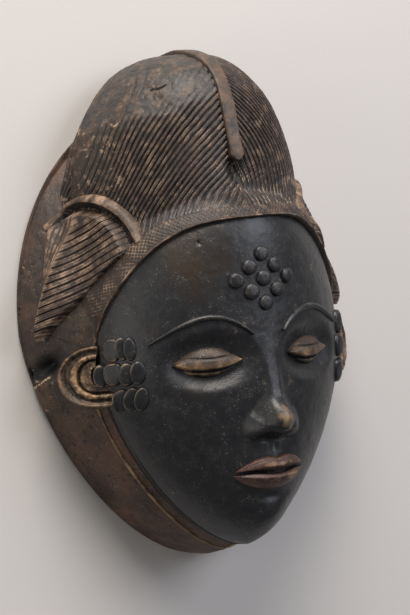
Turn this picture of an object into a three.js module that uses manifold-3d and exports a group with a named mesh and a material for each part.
// A carved wooden face mask of the Punu kind, lying on its back rim with the face up.
// X runs across the face, Y from the chin to the crest, and Z from the flat back rim to the face.
// Lengths are millimetres. The forms are worked out with Y measured from the chin end of the rim,
// and the mesh is moved back at the end, so that the origin is under the middle of the mask.

import * as THREE from "three";
import { mergeVertices } from "three/addons/utils/BufferGeometryUtils.js";
import Module from "manifold-3d";

const wasm = await Module();
wasm.setup();

// Driving dimensions of the shell
const LENGTH = 296;
const RIM_HALF_WIDTH = 105;
const RIM_WIDEST_Y = 145;
const RIM_TOP_Y = 270;
const SHELL_RISE = 80;
const SIDE_POWER = 1.7;
const CHIN_POWER = 0.95;
const CROWN_LEAN = 0.75;
const CREST_VAULT = 0.3;
const WALL = 13;
const CROWN_WALL = 17;
const CHIN_ROUND = 1.2;
const CHIN_POINT = 1.25;

// Driving dimensions of the face, in equal thirds from hairline to brow to nose base to chin
const FACE_EDGE_Z = 48;
const FOREHEAD_Z = 98;
const FOREHEAD_Y = 165;
const CHIN_Y = 8;
const CROWN_Y = 222;
const FACE_HALF_WIDTH = 81;
const FACE_SECTION = 1.55;
const FACE_WIDEST_Y = 120;
const HAIRLINE_Y = 196;
const THIRD = 61;
const BROW_Y = HAIRLINE_Y - THIRD;
const NOSE_BASE_Y = BROW_Y - THIRD;
const EYE_WIDTH = 36;
const EYE_X = 34;
const EYE_Y = 119;
const MOUTH_Y = 53;
const MOUTH_WIDTH = 48;
const UPPER_LIP = 10.5;
const LOWER_LIP = 11.5;
const BROW_HEIGHT = 1.7;
const LID_HEIGHT = 17;
const LID_RISE = 6;
const NOSE_RISE = 15;
const UNDERCUT = 9;

// Driving dimensions of the coiffure
const CREST_Y = 212;
const CREST_Z = 20;
const CREST_HALF_WIDTH = 69.5;
const CREST_RISE_Y = LENGTH - CREST_Y;
const CREST_RISE_Z = 62;
const CREST_CORNER = 2.2;
const COMB_FIRST = 200;
const COMB_LINES = 17;
const COMB_REACH = 0.98;
const COMB_SLOPE = 0.7;
const COMB_BEND = 0.0045;
const COMB_CURL = 1.15e-6;
const COMB_DEPTH = 1.4;
const COMB_SKIN = 7;
const RIDGE_END_Y = 231;
const RIDGE_WIDTH = 8.6;
const RIDGE_HEIGHT = 3.2;
const BAND_WIDTH = 7;
const BAND_WIDENS = 1.8;
const BAND_HEIGHT = 3.2;
const BAND_END = 76 * (Math.PI / 180);
const BAND_DROP = 73;
const BAND_CURVE = 3.3;
const HEAD_REACH = 80;
const TRESS_TIP_Y = 138;
const TRESS_TOP_Y = 214;
const TRESS_OUTER = 89;
const TRESS_SWING = 6.7;
const TRESS_INNER = 90;
const TRESS_SPREAD = 37;
const TRESS_CURL = 0.24;
const TRESS_HEIGHT = 5;
const TRESS_TIP_HEIGHT = 6;
const TRESS_SPINE = 0.28;
const TRESS_SLANT = 1.5;
const TRESS_FLUTE = 1.6;
const ARCH_HALF_WIDTH = 4;
const ARCH_HEIGHT = 4;
const ARCH_PROUD = 1.5;

// Driving dimensions of the ears and the scarification
const EAR_Y = 115.5;
const EAR_REACH = 19.8;
const EAR_HALF_HEIGHT = 15.2;
const EAR_RIM = 5;
const KELOID_RADIUS = 4.3;
const KELOID_HEIGHT = 2.5;
const KELOID_STEP_X = 8.65;
const KELOID_STEP_Y = 6.9;
const KELOID_Y = 161.8;
const SCALE_HALF_HEIGHT = 6.8;
const SCALE_HALF_WIDTH = 3.3;
const SCALE_STEP = 4.6;
const EAR_X = 82;
const EAR_Z = 44;
const EAR_OUT = new THREE.Vector3(0.66, 0, 0.75);
const EAR_AWAY = new THREE.Vector3(0.75, 0, -0.66);
const SCALE_THICKNESS = 2.5;
const SCALE_TILT = 1.2;

// How deep a form that is joined on reaches into the wood behind it
const ROOT = 6;

// The height above the rim of the line that places on the side of the head are turned about
const AXIS_Z = 20;

const HALF_TURN = Math.PI;
const QUARTER_TURN = Math.PI / 2;
const DEGREE = Math.PI / 180;
const TINY = 1e-6;

function clamp(value, low, high) {
  return Math.min(high, Math.max(low, value));
}

// How far a rounded profile has come down at a share t of its run: full at 0, nothing at 1.
function rounded(t, power, root = power) {
  return Math.pow(Math.max(0, 1 - Math.pow(clamp(Math.abs(t), 0, 1), power)), 1 / root);
}

// Every solid starts from a closed three.js geometry whose vertices are moved.
function toSolid(geometry) {
  const bare = geometry.clone();
  bare.deleteAttribute("normal");
  bare.deleteAttribute("uv");
  const merged = mergeVertices(bare, 1e-3);
  const made = new wasm.Manifold(new wasm.Mesh({
    numProp: 3,
    vertProperties: new Float32Array(merged.attributes.position.array),
    triVerts: new Uint32Array(merged.index.array),
  }));
  if (made.volume() > 0) return made;
  return toSolid(turnedInsideOut(geometry));
}

function turnedInsideOut(geometry) {
  const turned = geometry.clone();
  const index = turned.index.array;
  for (let i = 0; i < index.length; i += 3) {
    const kept = index[i + 1];
    index[i + 1] = index[i + 2];
    index[i + 2] = kept;
  }
  return turned;
}

function moveVertices(geometry, pointAt) {
  const position = geometry.attributes.position;
  const from = new THREE.Vector3();
  for (let i = 0; i < position.count; i += 1) {
    from.fromBufferAttribute(position, i);
    const to = pointAt(from);
    position.setXYZ(i, to.x, to.y, to.z);
  }
  return geometry;
}

// A ball whose vertices are placed by their bearing and by their angle down from the top.
// Only its last two rows are behind its widest line, because its front is the carved side.
function ballForm(columns, rows, pointAt) {
  const ball = new THREE.SphereGeometry(1, columns, rows).rotateX(QUARTER_TURN);
  const front = rows - 2;
  return toSolid(moveVertices(ball, (p) => {
    const flat = Math.hypot(p.x, p.y);
    const pole = flat < TINY;
    const bearing = pole ? 0 : Math.atan2(p.y, p.x);
    const row = Math.round(rows * Math.atan2(pole ? 0 : flat, p.z) / HALF_TURN);
    const fall = row <= front ? row / front : 1 + (row - front) / 2;
    return pointAt(bearing, fall * QUARTER_TURN);
  }));
}

// A block whose vertices are placed by their share of its width, length and thickness.
function slabForm(columns, rows, pointAt) {
  const block = new THREE.BoxGeometry(1, 1, 1, columns, rows, 1);
  return toSolid(moveVertices(block, (p) => pointAt(p.x + 0.5, p.y + 0.5, p.z + 0.5)));
}

// A rod whose vertices are placed by the share of its length, their bearing and the share of its radius.
function rodForm(sides, steps, pointAt) {
  const rod = new THREE.CylinderGeometry(1, 1, 1, sides, steps);
  return toSolid(moveVertices(rod, (p) => pointAt(p.y + 0.5, Math.atan2(p.z, p.x), Math.hypot(p.x, p.z))));
}

// The rim is an egg: half an ellipse above its widest line, and a more pointed curve below it.
function rimOutline(bearing) {
  const across = Math.abs(Math.cos(bearing));
  const along = Math.sin(bearing);
  const side = Math.sign(Math.cos(bearing));
  if (along >= 0) {
    const rise = RIM_TOP_Y - RIM_WIDEST_Y;
    return { x: side * RIM_HALF_WIDTH * across, y: RIM_WIDEST_Y + rise * along };
  }
  return {
    x: side * RIM_HALF_WIDTH * Math.pow(across, CHIN_ROUND),
    y: RIM_WIDEST_Y - RIM_WIDEST_Y * Math.pow(-along, CHIN_POINT),
  };
}

// The walls rise steeply at the chin, are rounded at the sides and lean in under the crest.
function wallPower(along) {
  return along < 0 ? SIDE_POWER + CHIN_POWER * along * along : SIDE_POWER - CROWN_LEAN * Math.pow(along, 0.8);
}

// The hollow is as full as the wall outside it, and fuller where the crest stands over it.
function hollowPower(along) {
  if (along < 0) return wallPower(along);
  const under = Math.pow(along, 4);
  return SIDE_POWER - CROWN_LEAN * Math.pow(along, 0.8) * (1 - under) + CREST_VAULT * under;
}

function shellPoint(bearing, share) {
  const edge = rimOutline(bearing);
  return {
    x: edge.x * share,
    y: RIM_WIDEST_Y + (edge.y - RIM_WIDEST_Y) * share,
    z: SHELL_RISE * rounded(share, wallPower(Math.sin(bearing))),
  };
}

// The share of the way out to the rim at a place, found by halving.
function shellShare(x, y) {
  const along = y - RIM_WIDEST_Y;
  const outside = (share) => {
    const across = Math.abs(x) / (RIM_HALF_WIDTH * share);
    if (along >= 0) {
      const up = along / ((RIM_TOP_Y - RIM_WIDEST_Y) * share);
      return across * across + up * up > 1;
    }
    const down = -along / (RIM_WIDEST_Y * share);
    return Math.pow(across, 2 / CHIN_ROUND) + Math.pow(down, 2 / CHIN_POINT) > 1;
  };
  let low = 1e-4;
  let high = 3;
  for (let i = 0; i < 40; i += 1) {
    const middle = (low + high) / 2;
    if (outside(middle)) low = middle;
    else high = middle;
  }
  return high;
}

function shellHeight(x, y) {
  const share = shellShare(x, y);
  if (share >= 1) return -1;
  const along = (y - RIM_WIDEST_Y) / share;
  const turn = along < 0 ? -Math.pow(-along / RIM_WIDEST_Y, 1 / CHIN_POINT) : along / (RIM_TOP_Y - RIM_WIDEST_Y);
  return SHELL_RISE * rounded(share, wallPower(turn));
}

// The midline of the head: furthest forward at the forehead, and drawn in to the chin and the crown.
function headProfile(y) {
  const rise = FOREHEAD_Z - FACE_EDGE_Z;
  const toChin = (FOREHEAD_Y - y) / (FOREHEAD_Y - CHIN_Y);
  const toCrown = (y - FOREHEAD_Y) / (CROWN_Y - FOREHEAD_Y);
  return FACE_EDGE_Z + rise * (y < FOREHEAD_Y ? rounded(toChin, 2.6, 2.4) : rounded(toCrown, 4, 1.5));
}

function headHalfWidth(y) {
  if (y < FACE_WIDEST_Y) {
    return FACE_HALF_WIDTH * rounded((FACE_WIDEST_Y - y) / (FACE_WIDEST_Y - CHIN_Y), 1.6, 1.5);
  }
  return FACE_HALF_WIDTH * rounded((y - FACE_WIDEST_Y) / (CROWN_Y - FACE_WIDEST_Y), 2.4);
}

function headHeight(x, y) {
  if (y <= CHIN_Y || y >= CROWN_Y) return -1;
  const share = Math.abs(x) / headHalfWidth(y);
  if (share > 1) return -1;
  return FACE_EDGE_Z + (headProfile(y) - FACE_EDGE_Z) * rounded(share, FACE_SECTION);
}

function headOutline(bearing) {
  const across = Math.abs(Math.cos(bearing));
  const along = Math.sin(bearing);
  const reach = along < 0 ? FACE_WIDEST_Y - CHIN_Y : CROWN_Y - FACE_WIDEST_Y;
  const power = along < 0 ? 2 / 1.6 : 2 / 2.4;
  const y = FACE_WIDEST_Y + Math.sign(along) * reach * Math.pow(Math.abs(along), power);
  const root = along < 0 ? 2 / 1.5 : 2 / 2.4;
  return { x: Math.sign(Math.cos(bearing)) * FACE_HALF_WIDTH * Math.pow(across, root), y };
}

// The crest is a full dome: squarer than an ellipse from the front, round across, and flat along its top.
function crestShare(x, y) {
  const across = Math.pow(Math.abs(x) / CREST_HALF_WIDTH, CREST_CORNER);
  const along = Math.pow(Math.abs(y - CREST_Y) / CREST_RISE_Y, CREST_CORNER);
  return Math.pow(across + along, 1 / CREST_CORNER);
}

function crestHeight(x, y) {
  const along = Math.abs(y - CREST_Y) / CREST_RISE_Y;
  if (crestShare(x, y) >= 1) return -1;
  const halfWidth = CREST_HALF_WIDTH * rounded(along, CREST_CORNER);
  return CREST_Z + CREST_RISE_Z * rounded(along, 4.5, 2.6) * rounded(x / halfWidth, 2);
}

// The whole head, as the height of its front at a place.
function frontHeight(x, y) {
  return Math.max(shellHeight(x, y), headHeight(x, y), crestHeight(x, y));
}

// A place on the side of the head, by the angle round from the front and the height above the chin.
function sidePoint(turn, y, proud = 0) {
  const across = Math.sin(turn);
  const up = Math.cos(turn);
  let low = 0;
  let high = 160;
  for (let i = 0; i < 30; i += 1) {
    const reach = (low + high) / 2;
    const inside = AXIS_Z + reach * up < frontHeight(reach * across, y);
    if (inside) low = reach;
    else high = reach;
  }
  return new THREE.Vector3((low + proud) * across, y, AXIS_Z + (low + proud) * up);
}

// A raised strip along a path of side points: wide, low, and rounded across.
function strip(sides, steps, pathAt, outAt, halfWidthAt, heightAt, sink) {
  return rodForm(sides, steps, (share, bearing, reach) => {
    const here = pathAt(share);
    const ahead = pathAt(Math.min(1, share + 0.01));
    const behind = pathAt(Math.max(0, share - 0.01));
    const along = ahead.sub(behind).normalize();
    const out = outAt(share);
    const across = new THREE.Vector3().crossVectors(out, along).normalize();
    const rise = Math.sin(bearing) > 0 ? heightAt(share) : sink;
    return here
      .addScaledVector(across, reach * halfWidthAt(share) * Math.cos(bearing))
      .addScaledVector(out, reach * rise * Math.sin(bearing));
  });
}

// The block that the mask is carved from, as far as the side walls
function shell() {
  return ballForm(32, 12, (bearing, fall) => {
    if (fall > QUARTER_TURN + TINY) {
      const edge = rimOutline(bearing);
      const share = Math.sin(fall);
      return { x: edge.x * share, y: RIM_WIDEST_Y + (edge.y - RIM_WIDEST_Y) * share, z: 0 };
    }
    return shellPoint(bearing, Math.sin(fall));
  });
}

// The hollow behind the face, open at the back
function hollow() {
  const depth = FOREHEAD_Z - CROWN_WALL;
  const mouth = 4;
  return ballForm(22, 7, (bearing, fall) => {
    const edge = rimOutline(bearing);
    const share = Math.sin(fall);
    const long = Math.hypot(edge.x, edge.y - RIM_WIDEST_Y);
    const kept = share * (long - WALL) / long;
    const vault = depth * rounded(share, hollowPower(Math.sin(bearing)));
    const z = fall < QUARTER_TURN ? vault : -mouth * Math.abs(Math.cos(fall));
    return { x: edge.x * kept, y: RIM_WIDEST_Y + (edge.y - RIM_WIDEST_Y) * kept, z };
  });
}

// The face plate, whose edge stands proud of the shell and is undercut
function head() {
  return ballForm(32, 14, (bearing, fall) => {
    const edge = headOutline(bearing);
    const share = Math.sin(fall);
    const x = edge.x * share;
    const y = FACE_WIDEST_Y + (edge.y - FACE_WIDEST_Y) * share;
    if (fall > QUARTER_TURN + TINY) {
      return { x, y, z: FACE_EDGE_Z - UNDERCUT * Math.sqrt(Math.abs(Math.cos(fall))) };
    }
    return { x, y, z: Math.max(FACE_EDGE_Z, headHeight(x, y)) };
  });
}

// The crest's smooth core, which stays just under the combed skin
function crestDome() {
  const backZ = 6;
  const backShare = 0.86;
  const frontShare = 0.965;
  const corner = 2 / CREST_CORNER;
  return ballForm(24, 10, (bearing, fall) => {
    const across = Math.sign(Math.cos(bearing)) * Math.pow(Math.abs(Math.cos(bearing)), corner);
    const along = Math.sign(Math.sin(bearing)) * Math.pow(Math.abs(Math.sin(bearing)), corner);
    const behind = fall > QUARTER_TURN + TINY;
    const widest = Math.abs(fall - QUARTER_TURN) < TINY;
    const pole = fall > HALF_TURN - TINY;
    const share = behind ? (pole ? 0 : backShare) : frontShare * Math.sin(fall);
    const x = CREST_HALF_WIDTH * share * across;
    const y = CREST_Y + CREST_RISE_Y * share * along;
    if (behind) return { x, y, z: backZ };
    return { x, y, z: widest ? CREST_Z : crestHeight(x, y) - 2 * COMB_DEPTH };
  });
}

// A comb line falls away from the ridge, and turns down more steeply towards the side.
function combFall(x) {
  return COMB_SLOPE * x + COMB_BEND * x * x + COMB_CURL * Math.pow(x, 4);
}

function combY(line, x) {
  return line - combFall(x);
}

// The last comb line still touches the dome near its shoulder.
function combLast() {
  let last = COMB_FIRST;
  for (let x = 0; x < CREST_HALF_WIDTH; x += 1) {
    const along = CREST_RISE_Y * COMB_REACH * rounded(x / (CREST_HALF_WIDTH * COMB_REACH), CREST_CORNER);
    last = Math.max(last, CREST_Y + along + combFall(x));
  }
  return last - 1;
}

// Where a comb line enters the dome and where it leaves it
function combReach(line) {
  const steps = 160;
  const inside = [];
  for (let i = 0; i < steps; i += 1) {
    const x = (CREST_HALF_WIDTH * i) / steps;
    if (crestShare(x, combY(line, x)) < COMB_REACH) inside.push(x);
  }
  return { inner: inside[0], outer: inside[inside.length - 1] };
}

// One half of the crest's skin, with every other row of vertices sunk as a comb groove
function combSkin() {
  const rows = COMB_LINES * 2;
  const last = combLast();
  return slabForm(4, rows, (across, along, depth) => {
    const line = COMB_FIRST + (last - COMB_FIRST) * along;
    const { inner, outer } = combReach(line);
    const x = inner + (outer - inner) * across;
    const y = combY(line, x);
    const row = Math.round(along * rows);
    const groove = row % 2 ? COMB_DEPTH : 0;
    const cut = depth > 0.5 ? groove : COMB_SKIN;
    const centre = new THREE.Vector3(0, CREST_Y, CREST_Z);
    const point = new THREE.Vector3(x, y, crestHeight(x, y));
    const inward = centre.sub(point).normalize();
    return point.addScaledVector(inward, cut);
  });
}

// The ridge that the two combed halves fall away from
function ridge() {
  const farEnd = LENGTH - 2;
  const pathAt = (share) => {
    const y = RIDGE_END_Y + (farEnd - RIDGE_END_Y) * Math.sin(share * QUARTER_TURN);
    return new THREE.Vector3(0, y, crestHeight(0, y));
  };
  const outAt = (share) => {
    const here = pathAt(share);
    return new THREE.Vector3(0, (here.y - CREST_Y) / 2, here.z).normalize();
  };
  return strip(8, 12, pathAt, outAt, () => RIDGE_WIDTH / 2, () => RIDGE_HEIGHT, ROOT);
}

// The headband runs along the hairline from ear top to ear top.
function bandTurn(share) {
  return (share * 2 - 1) * BAND_END;
}

function hairlineY(turn) {
  return HAIRLINE_Y - BAND_DROP * Math.pow(Math.abs(turn) / BAND_END, BAND_CURVE);
}

function bandHalfWidth(turn) {
  return (BAND_WIDTH / 2) * (1 + BAND_WIDENS * Math.pow(Math.abs(turn) / BAND_END, 2.2));
}

// The middle of the band lies half its width above the hairline, measured square to it.
function bandY(turn) {
  const share = Math.abs(turn) / BAND_END;
  const slope = (BAND_CURVE * BAND_DROP * Math.pow(share, BAND_CURVE - 1)) / (BAND_END * HEAD_REACH);
  return hairlineY(turn) + bandHalfWidth(turn) * Math.hypot(1, slope);
}

function band() {
  const pathAt = (share) => {
    const turn = bandTurn(share);
    const point = sidePoint(Math.abs(turn), bandY(turn));
    return new THREE.Vector3(Math.sign(turn) * point.x, point.y, point.z);
  };
  const outAt = (share) => {
    const turn = bandTurn(share);
    return new THREE.Vector3(Math.sin(turn), 0.25, Math.cos(turn)).normalize();
  };
  return strip(6, 24, pathAt, outAt, (share) => bandHalfWidth(bandTurn(share)), () => BAND_HEIGHT, ROOT);
}

// The side tress hangs from the crest to the top of the ear, as a leaf on the side of the head.
// Its top edge is highest near the outside, and falls away to the face.
function tressTop(across) {
  const highest = 0.3;
  const toFace = Math.max(0, across - highest) / (1 - highest);
  const toBack = Math.max(0, highest - across) / highest;
  return TRESS_TOP_Y - 26 * Math.pow(toFace, 2.6) - 8 * Math.pow(toBack, 2);
}

function tressPoint(along, across, proud) {
  const outer = TRESS_OUTER + TRESS_SWING * along * along;
  const inner = TRESS_INNER - TRESS_SPREAD * ((1 - TRESS_CURL) * along + TRESS_CURL * Math.pow(along, 3));
  const turn = outer + (inner - outer) * across;
  const y = TRESS_TIP_Y + (tressTop(across) - TRESS_TIP_Y) * along;
  return sidePoint(turn * DEGREE, y, proud);
}

// Its spine runs down to the tip. Long flutes lie outside the spine, and slanted ones rise from it
// to the face.
function tress() {
  const outerColumns = 4;
  const columns = 8;
  const rows = 14;
  const step = 0.8;
  return slabForm(columns, rows, (share, rise, depth) => {
    const column = Math.round(share * columns);
    const row = Math.round(rise * rows);
    const outside = column <= outerColumns;
    const across = outside
      ? TRESS_SPINE * column / outerColumns
      : TRESS_SPINE + (1 - TRESS_SPINE) * (column - outerColumns) / (columns - outerColumns);
    const inward = Math.max(0, across - TRESS_SPINE) / (1 - TRESS_SPINE);
    const along = 1 - Math.pow(1 - rise, 1 + TRESS_SLANT * inward);
    if (depth < 0.5) return tressPoint(along, across, -ROOT);
    const crown = TRESS_HEIGHT * rounded(2 * across - 1, 2.4) * rounded(1 - along, 4, 1.6);
    const tip = TRESS_TIP_HEIGHT * Math.pow(1 - along, 3);
    const edge = column === 0 || column === columns || row === 0 || row === rows;
    const cut = edge ? 0 : (outside ? column : row) % 2;
    return tressPoint(along, across, step + crown + tip - TRESS_FLUTE * cut);
  });
}

// A broad arched band closes the top of the tress.
function tressArch() {
  const pathAt = (share) => tressPoint(1, share, ARCH_PROUD);
  const outAt = (share) => {
    const point = pathAt(share);
    return new THREE.Vector3(point.x, 0, point.z - AXIS_Z).normalize();
  };
  return strip(6, 10, pathAt, outAt, () => ARCH_HALF_WIDTH, () => ARCH_HEIGHT, ROOT);
}

// The ear is a C that opens towards the face, with a second, thinner C inside it.
function earCurve(size, rimWidth, rimHeight, lift) {
  const centre = new THREE.Vector3(EAR_X, EAR_Y, EAR_Z).addScaledVector(EAR_OUT, lift);
  const pathAt = (share) => {
    const angle = (share - 0.5) * HALF_TURN * 1.12;
    return centre.clone()
      .addScaledVector(EAR_AWAY, size * EAR_REACH * Math.cos(angle))
      .add(new THREE.Vector3(0, size * EAR_HALF_HEIGHT * Math.sin(angle), 0));
  };
  return strip(6, 10, pathAt, () => EAR_OUT.clone(), () => rimWidth / 2, () => rimHeight, 1.5 * ROOT);
}

function ear() {
  const helix = earCurve(1, EAR_RIM, 3.2, 3);
  const inner = earCurve(0.55, EAR_RIM * 0.75, 2.4, 2);
  return helix.add(inner);
}

// Forehead scars: nine low domes in a diamond
function keloids() {
  const places = [-1, 0, 1];
  return places.flatMap((i) => places.map((j) => {
    const x = (i - j) * KELOID_STEP_X;
    const y = KELOID_Y + (i + j) * KELOID_STEP_Y;
    return ballForm(8, 4, (bearing, fall) => {
      const reach = KELOID_RADIUS * Math.sin(fall);
      const px = x + reach * Math.cos(bearing);
      const py = y + reach * Math.sin(bearing);
      const rise = fall < QUARTER_TURN ? KELOID_HEIGHT : ROOT;
      return { x: px, y: py, z: headHeight(px, py) + rise * Math.cos(fall) };
    });
  }));
}

// Temple scars: three rows of discs that overlap as fish scales do, on the side of the head by the ear
function templeScales() {
  const rows = [
    { y: 130, first: 79.6, count: 3 },
    { y: 116, first: 82.6, count: 4 },
    { y: 101.5, first: 76.5, count: 3 },
  ];
  return rows.flatMap((row) => Array.from({ length: row.count }, (_, i) => {
    const x = row.first - SCALE_STEP * i;
    return rodForm(8, 1, (side, bearing, reach) => {
      const px = x + reach * SCALE_HALF_WIDTH * Math.cos(bearing);
      const py = row.y + reach * SCALE_HALF_HEIGHT * Math.sin(bearing);
      const proud = SCALE_THICKNESS + SCALE_TILT * reach * Math.cos(bearing);
      const onFace = frontHeight(Math.min(px, headHalfWidth(py) - 1.5), py);
      const onEar = EAR_Z + 4 - (EAR_OUT.x / EAR_OUT.z) * (px - EAR_X);
      const top = new THREE.Vector3(px, py, Math.min(onFace, onEar));
      return top.addScaledVector(EAR_OUT, side > 0.5 ? proud : -ROOT);
    });
  }));
}

// Closed lids: an almond dome, with an upper lid that overhangs a slit
function lid() {
  return ballForm(10, 7, (bearing, fall) => {
    const reach = Math.sin(fall);
    const px = EYE_X + reach * (EYE_WIDTH / 2) * Math.cos(bearing);
    const narrow = Math.pow(rounded(reach * Math.cos(bearing), 2), 0.35);
    const py = EYE_Y + reach * (LID_HEIGHT / 2) * Math.sin(bearing) * (0.35 + 0.65 * narrow);
    const rise = fall < QUARTER_TURN ? LID_RISE : ROOT;
    return { x: px, y: py, z: headHeight(px, py) - 0.6 + rise * Math.cos(fall) };
  });
}

function lidSlit() {
  const pathAt = (share) => {
    const x = EYE_X + (share - 0.5) * (EYE_WIDTH - 3);
    const sag = 2.6 * (1 - Math.pow(2 * share - 1, 2));
    const y = EYE_Y - 0.6 - sag;
    const dome = LID_RISE * rounded((2 * share - 1) * 0.96, 2);
    return new THREE.Vector3(x, y, headHeight(x, y) - 0.6 + dome);
  };
  return strip(6, 12, pathAt, () => new THREE.Vector3(0.25, 0, 1).normalize(), () => 0.9, () => 2.5, 1.8);
}

// Brows: a thin raised arch over each eye
function brow() {
  const pathAt = (share) => {
    const x = 10 + 54 * share;
    const y = BROW_Y - 4 + 12 * Math.sin(HALF_TURN * Math.pow(share, 0.85));
    return new THREE.Vector3(x, y, headHeight(x, y));
  };
  const outAt = (share) => new THREE.Vector3(0.2 + 0.6 * share, 0, 1).normalize();
  const halfWidthAt = (share) => 0.8 + 1.2 * rounded(2 * share - 1, 2);
  return strip(4, 10, pathAt, outAt, halfWidthAt, () => BROW_HEIGHT, ROOT / 2);
}

// The nose widens from a narrow root between the brows to a rounded tip and two wings.
function nose() {
  const rootY = BROW_Y - 12;
  const bridge = ballForm(10, 8, (bearing, fall) => {
    const reach = Math.sin(fall);
    const middle = NOSE_BASE_Y + 26;
    const py = middle + reach * (rootY - NOSE_BASE_Y + 2) / 2 * Math.sin(bearing);
    const down = clamp((rootY - py) / (rootY - NOSE_BASE_Y), 0, 1);
    const px = reach * (4.5 + 9.5 * down) * Math.cos(bearing);
    const rise = fall < QUARTER_TURN ? 2 + NOSE_RISE * Math.pow(down, 1.4) : ROOT;
    return { x: px, y: py, z: headHeight(px, py) - 1 + rise * Math.cos(fall) };
  });
  const wingX = 9;
  const wingSize = 7;
  const wingY = NOSE_BASE_Y + wingSize;
  const wings = [-1, 1].map((side) => ballForm(9, 6, (bearing, fall) => {
    const px = side * wingX + wingSize * Math.sin(fall) * Math.cos(bearing);
    const py = wingY + wingSize * Math.sin(fall) * Math.sin(bearing);
    return { x: px, y: py, z: headHeight(wingX, wingY) + 1 + wingSize * Math.cos(fall) };
  }));
  return wings.reduce((joined, wing) => joined.add(wing), bridge);
}

// The lips are two rounded rolls that meet in a shallow line.
function lip(direction) {
  const tall = direction > 0 ? UPPER_LIP : LOWER_LIP;
  const pathAt = (share) => {
    const x = (share - 0.5) * MOUTH_WIDTH;
    const open = rounded(2 * share - 1, 2, 1.4);
    const dip = direction > 0 ? 1.8 * Math.exp(-Math.pow(x / 4, 2)) : 0;
    const y = MOUTH_Y + direction * tall * 0.42 * open - dip;
    return new THREE.Vector3(x, y, headHeight(x, y));
  };
  const halfWidthAt = (share) => 0.8 + (tall / 2) * rounded(2 * share - 1, 2, 1.4);
  const heightAt = (share) => 0.8 + 8.4 * rounded(2 * share - 1, 2.2, 1.6);
  return strip(8, 10, pathAt, () => new THREE.Vector3(0, 0, 1), halfWidthAt, heightAt, ROOT / 2);
}

function bothSides(makeRight) {
  const right = makeRight();
  return [right, mirroredSolid(right)];
}

// The same form on the other side of the face
function mirroredSolid(made) {
  const mesh = made.getMesh();
  const places = Float32Array.from(mesh.vertProperties);
  for (let i = 0; i < places.length; i += 3) places[i] = -places[i];
  const corners = Uint32Array.from(mesh.triVerts);
  for (let i = 0; i < corners.length; i += 3) {
    const kept = corners[i + 1];
    corners[i + 1] = corners[i + 2];
    corners[i + 2] = kept;
  }
  return new wasm.Manifold(new wasm.Mesh({ numProp: 3, vertProperties: places, triVerts: corners }));
}

function geometryOf(made) {
  const mesh = made.getMesh();
  const geometry = new THREE.BufferGeometry();
  geometry.setAttribute("position", new THREE.BufferAttribute(Float32Array.from(mesh.vertProperties), 3));
  geometry.setIndex(new THREE.BufferAttribute(Uint32Array.from(mesh.triVerts), 1));
  return geometry;
}

const joined = [
  shell(),
  head(),
  crestDome(),
  ...bothSides(combSkin),
  ridge(),
  band(),
  ...bothSides(tress),
  ...bothSides(tressArch),
  ...bothSides(ear),
  ...keloids(),
  ...templeScales(),
  ...templeScales().map(mirroredSolid),
  ...bothSides(brow),
  nose(),
  lip(1),
  lip(-1),
  ...bothSides(lid),
].reduce((whole, form) => whole.add(form));

const carved = [hollow(), ...bothSides(lidSlit)].reduce((whole, form) => whole.subtract(form), joined);

// A pocket that the joined forms seal off inside the wood is left filled.
const block = carved.decompose().reduce((most, body) => (body.volume() > most.volume() ? body : most));

const wood = new THREE.MeshStandardMaterial({ color: 0x2b2320, roughness: 0.62, metalness: 0 });
const mask = new THREE.Mesh(geometryOf(block).translate(0, -LENGTH / 2, 0), wood);
mask.name = "mask";

const part = new THREE.Group();
part.add(mask);

export default part;
